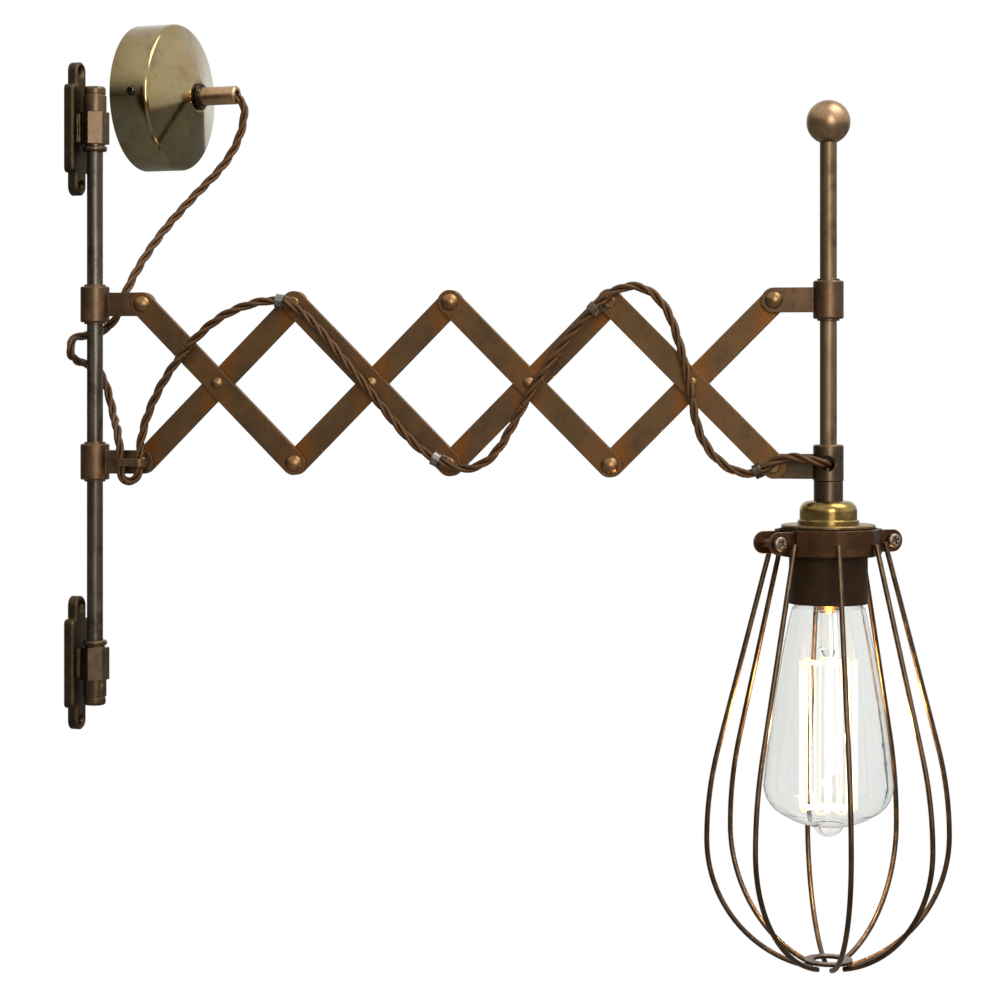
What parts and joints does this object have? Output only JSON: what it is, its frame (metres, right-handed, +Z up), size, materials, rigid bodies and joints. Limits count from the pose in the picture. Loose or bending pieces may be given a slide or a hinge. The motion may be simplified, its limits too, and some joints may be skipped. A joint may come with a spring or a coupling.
{
  "type": "adjustable wall light",
  "caption": "Adjustable wall light: scissor arm on a swivelling wall rod carries a caged filament bulb; a braided cord runs along the arm from a domed canopy.",
  "frame": {"origin": "on the wall face, half way between the two wall brackets, in the plane of their screw holes", "axes": "+X away from the wall, +Z up along the wall rod, +Y to the side of the canopy; millimetre sizes in the source, metres here"},
  "size_m": [0.4549, 0.132, 0.493],
  "materials": {
    "cast_bronze": "dark antique bronze, satin",
    "rod_bronze": "streaky grey bronze",
    "end_rod_bronze": "olive bronze, satin",
    "bar_bronze": "dark bronze with rust-orange wear",
    "rivet_bronze": "dark bronze, satin",
    "antique_brass": "antique brass, satin",
    "copper_brass": "copper-toned brass, satin",
    "bright_brass": "polished brass",
    "holder_brown": "dark brown, satin",
    "wire_bronze": "dark bronze wire",
    "zinc_steel": "zinc plated",
    "ceramic_white": "unglazed",
    "terminal_white": "matt",
    "clear_glass": "clear",
    "filament_glow": "glowing",
    "brown_flex": "twisted braid"
  },
  "bodies": {
    "wall_fixings": {"upper_wall_bracket": "cast_bronze", "lower_wall_bracket": "cast_bronze", "rod_sockets": "cast_bronze", "rod_bushes": "cast_bronze", "rod_caps": "cast_bronze", "canopy_cover": "antique_brass", "canopy_strap": "zinc_steel", "canopy_side_screws": "antique_brass", "cord_grip": "copper_brass", "cord_grip_locknut": "copper_brass", "terminal_block": "terminal_white", "cord_canopy_drop": "brown_flex"},
    "swivel_rod": {"wall_rod": "rod_bronze", "cord_rod_loop": "brown_flex"},
    "lower_carriage": {"lower_wall_collar": "bar_bronze", "height_grub_screw": "rivet_bronze", "lower_wall_rivet": "rivet_bronze", "fold_clip": "zinc_steel", "cord_fold_rise": "brown_flex"},
    "upper_carriage": {"upper_wall_collar": "bar_bronze"},
    "rear_1": {"rear_bar_1": "bar_bronze", "cord_first_top": "brown_flex"},
    "front_1": {"front_bar_1": "bar_bronze", "rivets_bar_1": "rivet_bronze"},
    "front_2": {"front_bar_2": "bar_bronze", "rivets_bar_2": "rivet_bronze", "cord_clips_bar_2": "zinc_steel", "cord_middle_low": "brown_flex"},
    "rear_2": {"rear_bar_2": "bar_bronze"},
    "rear_3": {"rear_bar_3": "bar_bronze", "cord_third_top": "brown_flex"},
    "front_3": {"front_bar_3": "bar_bronze", "rivets_bar_3": "rivet_bronze"},
    "front_4": {"front_bar_4": "bar_bronze", "rivets_bar_4": "rivet_bronze", "cord_clips_bar_4": "zinc_steel", "cord_lamp_entry": "brown_flex"},
    "rear_4": {"rear_bar_4": "bar_bronze"},
    "lamp_head": {"end_block": "bar_bronze", "end_rod": "end_rod_bronze", "ball_knob": "end_rod_bronze", "neck_coupler": "end_rod_bronze", "holder_cap": "bright_brass", "holder_flange": "holder_brown", "holder_skirt": "holder_brown", "holder_core": "ceramic_white", "holder_screw_shell": "bright_brass", "holder_contact": "bright_brass", "cage_band_front": "holder_brown", "cage_band_rear": "holder_brown", "cage_clamp_screws": "rivet_bronze", "cage_wires": "wire_bronze", "cage_ring": "wire_bronze"},
    "end_carriage": {"upper_end_collar": "bar_bronze", "upper_end_rivet": "rivet_bronze"},
    "bulb": {"bulb_glass": "clear_glass", "bulb_screw_cap": "bright_brass", "bulb_stem": "clear_glass", "bulb_supports": "zinc_steel", "bulb_filament": "filament_glow"}
  },
  "joints": [
    {"name": "arm_swivel", "type": "hinge", "parent": "wall_fixings", "child": "swivel_rod", "pos_m": [0.0135, 0, 0], "axis": [0, 0, 1], "range_deg": [-79, 61], "deforming": ["cord_canopy_drop"]},
    {"name": "arm_height", "type": "slide", "parent": "swivel_rod", "child": "lower_carriage", "axis": [0, 0, 1], "range_m": [-0.04, 0.035], "deforming": ["cord_rod_loop"]},
    {"name": "arm_extend", "type": "hinge", "parent": "lower_carriage", "child": "rear_1", "pos_m": [0.04017, 0.00422, -0.03492], "axis": [-0.1564, 0.9877, 0], "range_deg": [-30, 25], "deforming": ["cord_fold_rise"]},
    {"name": "cross_1", "type": "hinge", "parent": "rear_1", "child": "front_1", "pos_m": [0.08137, 0.01075, 0.0068], "axis": [-0.1564, 0.9877, 0], "range_deg": [-50, 60]},
    {"name": "upper_tab", "type": "hinge", "parent": "front_1", "child": "upper_carriage", "pos_m": [0.04017, 0.00422, 0.04852], "axis": [-0.1564, 0.9877, 0], "range_deg": [-30, 25]},
    {"name": "top_1", "type": "hinge", "parent": "rear_1", "child": "front_2", "pos_m": [0.12258, 0.01728, 0.04852], "axis": [-0.1564, 0.9877, 0], "range_deg": [-50, 60], "deforming": ["cord_first_top"]},
    {"name": "cross_2", "type": "hinge", "parent": "front_2", "child": "rear_2", "pos_m": [0.16378, 0.0238, 0.0068], "axis": [-0.1564, 0.9877, 0], "range_deg": [-60, 50]},
    {"name": "low_2", "type": "hinge", "parent": "front_2", "child": "rear_3", "pos_m": [0.20499, 0.03033, -0.03492], "axis": [-0.1564, 0.9877, 0], "range_deg": [-60, 50], "deforming": ["cord_middle_low"]},
    {"name": "cross_3", "type": "hinge", "parent": "rear_3", "child": "front_3", "pos_m": [0.2462, 0.03686, 0.0068], "axis": [-0.1564, 0.9877, 0], "range_deg": [-50, 60]},
    {"name": "top_3", "type": "hinge", "parent": "rear_3", "child": "front_4", "pos_m": [0.2874, 0.04338, 0.04852], "axis": [-0.1564, 0.9877, 0], "range_deg": [-50, 60], "deforming": ["cord_third_top"]},
    {"name": "cross_4", "type": "hinge", "parent": "front_4", "child": "rear_4", "pos_m": [0.32861, 0.04991, 0.0068], "axis": [-0.1564, 0.9877, 0], "range_deg": [-60, 50]},
    {"name": "lamp_tab", "type": "hinge", "parent": "front_4", "child": "lamp_head", "pos_m": [0.36981, 0.05643, -0.03492], "axis": [-0.1564, 0.9877, 0], "range_deg": [-30, 25], "deforming": ["cord_lamp_entry"]},
    {"name": "end_tab", "type": "hinge", "parent": "rear_4", "child": "end_carriage", "pos_m": [0.36981, 0.05643, 0.04852], "axis": [-0.1564, 0.9877, 0], "range_deg": [-25, 30]},
    {"name": "bulb_turn", "type": "hinge", "parent": "lamp_head", "child": "bulb", "pos_m": [0.39648, 0.06066, -0.09], "axis": [0, 0, 1], "continuous": true}
  ],
  "couplings": [
    {"joint": "cross_1", "follows": "arm_extend", "ratio": -2},
    {"joint": "upper_tab", "follows": "arm_extend", "ratio": 1},
    {"joint": "top_1", "follows": "arm_extend", "ratio": -2},
    {"joint": "cross_2", "follows": "arm_extend", "ratio": 2},
    {"joint": "low_2", "follows": "arm_extend", "ratio": 2},
    {"joint": "cross_3", "follows": "arm_extend", "ratio": -2},
    {"joint": "top_3", "follows": "arm_extend", "ratio": -2},
    {"joint": "cross_4", "follows": "arm_extend", "ratio": 2},
    {"joint": "lamp_tab", "follows": "arm_extend", "ratio": 1},
    {"joint": "end_tab", "follows": "arm_extend", "ratio": -1}
  ]
}
